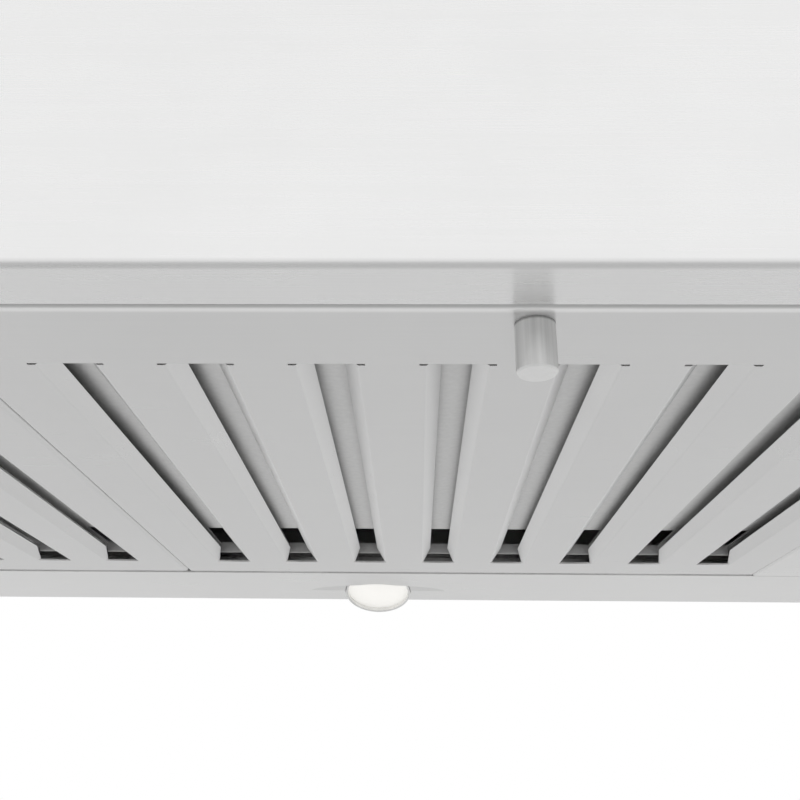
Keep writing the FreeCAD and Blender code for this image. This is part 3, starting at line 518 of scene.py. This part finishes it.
# Which CAD nodes have each finish
FINISHES = {
    "face": ["front_panel"],
    "back": ["back_panel"],
    "side": ["left_side_panel", "right_side_panel"],
    "under": ["lamp_panel", "top_panel", "left_bottom_rail", "right_bottom_rail"],
    "baffle": [f"{side}_filter_{piece}" for side in SIDES for piece in ("plate", "frame")],
    "channel": [f"{side}_filter_channels" for side in SIDES],
    "knob": [f"{side}_filter_knob" for side in SIDES],
    "rim": [f"{side}_lamp_ring" for side in ENDS],
    "button": list(BUTTONS),
    "inner": ["clip_rail", "left_filter_divider", "right_filter_divider", "terminal_box", "motor_bracket"],
    "spring": [f"{side}_filter_clips" for side in SIDES],
    "screw": [f"{side}_knob_screw" for side in SIDES] + ["damper_rod"],
    "can": [f"{side}_lamp_housing" for side in ENDS],
    "galvanised": ["exhaust_plenum", "left_scroll_housing", "right_scroll_housing", "duct_collar",
                   "left_blower_wheel", "right_blower_wheel"],
    "flap": ["front_damper_flap", "rear_damper_flap", "collar_rivets"],
    "shaft": ["blower_shaft"],
    "lens": [f"{side}_lamp_lens" for side in ENDS],
    "board": [f"{side}_led_board" for side in ENDS],
    "circuit": ["control_board"],
    "bezel": ["control_bezel"],
    "plastic": ["control_box", "led_driver"],
    "paint": ["blower_motor"],
}


def dress(nodes, made):
    """Gives each CAD node its finish."""
    for finish, names in FINISHES.items():
        for name in names:
            mesh = nodes[name].data
            mesh.materials.clear()
            mesh.materials.append(made[finish])


# Width of the rounding on the sharp edges of the pieces that show, in metres
ROUNDED = {
    0.0005: ["left_side_panel", "right_side_panel", "duct_collar", "terminal_box", "exhaust_plenum"],
    0.0004: [*BUTTONS, *(f"{side}_lamp_ring" for side in ENDS), *(f"{side}_filter_knob" for side in SIDES)],
    0.0008: ["control_bezel", "collar_rivets", "led_driver", "blower_motor"],
}

# Corners closer than this are joined first, so that the rounding follows whole edges
MERGE = 0.000002
SHARP = math.radians(35)
ROUND_STEPS = 3


def soften(nodes):
    """Rounds sharp edges slightly, as deburred metal and moulded plastic are."""
    for width, names in ROUNDED.items():
        for name in names:
            weld = nodes[name].modifiers.new("weld", "WELD")
            weld.merge_threshold = MERGE
            bevel = nodes[name].modifiers.new("edges", "BEVEL")
            bevel.width = width
            bevel.segments = ROUND_STEPS
            bevel.limit_method = "ANGLE"
            bevel.angle_limit = SHARP
            bevel.harden_normals = True


# ---- small pieces ----

def new_piece(name, mesh, material, body):
    """Adds a piece that moves with a CAD body and counts under one of its material slots."""
    piece = bpy.data.objects.new(name, mesh)
    bpy.context.scene.collection.objects.link(piece)
    mesh.materials.append(material)
    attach(piece, body)
    return piece


def ring_points(radius, count, start=0.0, turn=360.0):
    """Points of an arc, with its start and its turn in degrees."""
    return [(radius * math.cos(math.radians(start + turn * step / count)),
             radius * math.sin(math.radians(start + turn * step / count))) for step in range(count + 1)]


# Half thickness of the marks' lines, how far they stand up, and half a digit's width and height
INK_RADIUS = 0.00042
INK_PROUD = 0.00015
INK_STEPS = 3
DIGIT_HALF = 0.0016
DIGIT_TALL = 0.0028

# Parts of the digits, as shares of half a digit's width or height
ZERO_WIDE = 1.15
ONE_FLAG = (-0.6, 0.55)
ONE_STEM = 0.15
TWO_BOWL = 0.55
TWO_FOOT = 1.05
THREE_BOWL = 0.52
THREE_TOP_WIDE = 0.9

# The lamp symbol, in metres
LAMP_RADIUS = 0.0014
RAY_START = 0.0024
RAY_END = 0.0036
RAYS = 8

# Straight pieces in each arc
ZERO_STEPS = 24
BOWL_STEPS = 10
LAMP_STEPS = 20


def digit_strokes():
    """Lines of the button marks, in metres about each button's middle: 0 to 3, and a lamp with rays."""
    def at(across, up):
        return (across * DIGIT_HALF, up * DIGIT_TALL)

    def bowl(wide, tall, middle, steps, start=0.0, turn=360.0):
        return [at(x * wide, middle + z * tall) for x, z in ring_points(1.0, steps, start, turn)]

    zero = bowl(ZERO_WIDE, 1.0, 0.0, ZERO_STEPS)
    one = [at(*ONE_FLAG), at(ONE_STEM, 1.0), at(ONE_STEM, -1.0)]
    two = bowl(1.0, TWO_BOWL, 1 - TWO_BOWL, BOWL_STEPS, start=165.0, turn=-205.0)
    two += [at(-1.0, -1.0), at(TWO_FOOT, -1.0)]
    three_top = bowl(THREE_TOP_WIDE, THREE_BOWL, 1 - THREE_BOWL, BOWL_STEPS, start=150.0, turn=-240.0)
    three_low = bowl(1.0, THREE_BOWL, THREE_BOWL - 1, BOWL_STEPS, start=90.0, turn=-240.0)
    rays = [[(x * RAY_START, z * RAY_START), (x * RAY_END, z * RAY_END)]
            for x, z in ring_points(1.0, RAYS)[:-1]]
    return {
        "fan_off_button": [zero],
        "fan_low_button": [one],
        "fan_medium_button": [two],
        "fan_high_button": [three_top, three_low],
        "light_button": [ring_points(LAMP_RADIUS, LAMP_STEPS), *rays],
    }


def button_marks(material):
    """A raised printed mark on the face of each button."""
    for name, strokes in digit_strokes().items():
        low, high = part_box(name)
        curve = bpy.data.curves.new(f"{name}_strokes", "CURVE")
        curve.dimensions = "3D"
        curve.bevel_depth = INK_RADIUS
        curve.bevel_resolution = INK_STEPS
        curve.use_fill_caps = True
        for stroke in strokes:
            line = curve.splines.new("POLY")
            line.points.add(len(stroke) - 1)
            for point, (x, z) in zip(line.points, stroke):
                point.co = (x, 0.0, z, 1.0)
        holder = bpy.data.objects.new(f"{name}_strokes", curve)
        mesh = bpy.data.meshes.new_from_object(holder)
        bpy.data.objects.remove(holder)
        bpy.data.curves.remove(curve)
        flatten = Matrix.Diagonal((1.0, INK_PROUD / INK_RADIUS, 1.0, 1.0))
        middle = Vector(((low.x + high.x) / 2, low.y, (low.z + high.z) / 2))
        mesh.transform(Matrix.Translation(middle) @ flatten)
        new_piece(f"{name}_mark", mesh, material, name)


# Height of the roof face, which the frame's origin lies on
ROOF = 0.0

# Pan heads: the nearer the shoulder is to 0, the more upright a head's side and the flatter its top
SCREW_RADIUS = 0.0042
SCREW_DOME = 0.0021
SCREW_SHOULDER = 0.55
SCREW_STEPS = 32
SCREW_RINGS = 7

# Cross recess: half the width and half the length of each bar, and how deep it goes below the top
RECESS_HALF = 0.0006
RECESS_REACH = 0.0024
RECESS_DEPTH = 0.0011

# What the roof screws hold, and how far in from its corners they are
SCREWED = {"exhaust_plenum": 0.012, "terminal_box": 0.010, "led_driver": 0.008}


def screw_mesh(name, spots):
    """Pan heads that stand on the roof, before their recesses are cut."""
    shell = bmesh.new()
    turns = [math.tau * step / SCREW_STEPS for step in range(SCREW_STEPS)]
    for x, y, z in spots:
        rings = []
        for level in range(SCREW_RINGS + 1):
            angle = math.radians(90 * level / SCREW_RINGS)
            radius = SCREW_RADIUS * math.cos(angle) ** SCREW_SHOULDER
            height = SCREW_DOME * math.sin(angle)
            if level == SCREW_RINGS:
                rings.append([shell.verts.new((x, y, z + height))])
            else:
                rings.append([shell.verts.new((x + radius * math.cos(turn), y + radius * math.sin(turn),
                                               z + height)) for turn in turns])
        for one, two in zip(rings, rings[1:]):
            for step in range(SCREW_STEPS):
                after = (step + 1) % SCREW_STEPS
                if len(two) == 1:
                    shell.faces.new((one[step], one[after], two[0]))
                else:
                    shell.faces.new((one[step], one[after], two[after], two[step]))
        shell.faces.new(list(reversed(rings[0])))
    for face in shell.faces:
        face.smooth = True
    mesh = bpy.data.meshes.new(name)
    shell.to_mesh(mesh)
    shell.free()
    return mesh


def cross_mesh(name, spots):
    """The two crossed bars that cut each screw head's recess."""
    shell = bmesh.new()
    for x, y, z in spots:
        for reach in ((RECESS_REACH, RECESS_HALF), (RECESS_HALF, RECESS_REACH)):
            size = Matrix.Diagonal((2 * reach[0], 2 * reach[1], 2 * RECESS_DEPTH, 1.0))
            place = Matrix.Translation((x, y, z + SCREW_DOME))
            bmesh.ops.create_cube(shell, size=1.0, matrix=place @ size)
    mesh = bpy.data.meshes.new(name)
    shell.to_mesh(mesh)
    shell.free()
    return mesh


def roof_screws(material):
    """Screws through the roof into the plenum, the terminal box and the lamp driver."""
    spots = []
    for name, inset in SCREWED.items():
        low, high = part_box(name)
        spots += [(x, y, ROOF) for x in (low.x + inset, high.x - inset)
                  for y in (low.y + inset, high.y - inset)]
    heads = new_piece("roof_screws", screw_mesh("roof_screws", spots), material, "hood")
    cutter = bpy.data.objects.new("screw_recess", cross_mesh("screw_recess", spots))
    bpy.context.scene.collection.objects.link(cutter)
    carve = heads.modifiers.new("recess", "BOOLEAN")
    carve.operation = "DIFFERENCE"
    carve.object = cutter
    carve.use_self = True
    bpy.context.view_layer.update()
    shaped = bpy.data.meshes.new_from_object(heads.evaluated_get(bpy.context.evaluated_depsgraph_get()))
    heads.modifiers.clear()
    heads.data = shaped
    bpy.data.objects.remove(cutter)


# ---- room, light and camera ----

def room(low, middle):
    """Pale floor well below the hood, and an even white surround."""
    bpy.ops.mesh.primitive_plane_add(size=FLOOR_SIZE, location=(middle.x, middle.y, low.z - FLOOR_DROP))
    floor = bpy.context.object
    floor.name = "floor"
    paint = Tree("floor_paint")
    cloud = paint.noise(even(FLOOR_CLOUD_SCALE), detail=2.0)
    paint.link(paint.tint(paint.spread(cloud), FLOOR_DARK, FLOOR_LIGHT), paint.shader, "Base Color")
    paint.set(Roughness=FLOOR_ROUGHNESS)
    floor.data.materials.append(paint.material)

    world = bpy.data.worlds.new("surround")
    world.use_nodes = True
    background = world.node_tree.nodes["Background"]
    background.inputs["Color"].default_value = WHITE
    background.inputs["Strength"].default_value = 1.0
    bpy.context.scene.world = world


def camera(low, high, front_low):
    """Close to the hood's front, a little below it, and looking up at the right-hand filter."""
    made = bpy.data.cameras.new("camera")
    made.lens = CAMERA_LENS
    made.sensor_width = SENSOR
    made.clip_start = CLIP_NEAR
    made.clip_end = CLIP_FAR
    holder = bpy.data.objects.new("camera", made)
    bpy.context.scene.collection.objects.link(holder)
    middle = (low.x + high.x) / 2
    spot = Vector((middle + CAMERA_RIGHT, front_low.y - CAMERA_AHEAD, front_low.z - CAMERA_BELOW))
    turn = (Matrix.Rotation(math.radians(CAMERA_YAW), 4, "Z")
            @ Matrix.Rotation(math.radians(90 + CAMERA_PITCH), 4, "X")
            @ Matrix.Rotation(math.radians(CAMERA_ROLL), 4, "Z"))
    holder.matrix_world = Matrix.Translation(spot) @ turn
    bpy.context.scene.camera = holder


def main():
    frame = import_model()
    cad_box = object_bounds()
    low, high = cad_box
    bpy.context.scene.view_settings.view_transform = "Standard"
    made = materials()
    dress(frame["nodes"], made)
    soften(frame["nodes"])
    button_marks(made["ink"])
    roof_screws(made["screw"])
    front_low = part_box("front_panel")[0]
    room(Vector(low), (Vector(low) + Vector(high)) / 2)
    camera(Vector(low), Vector(high), front_low)


main()
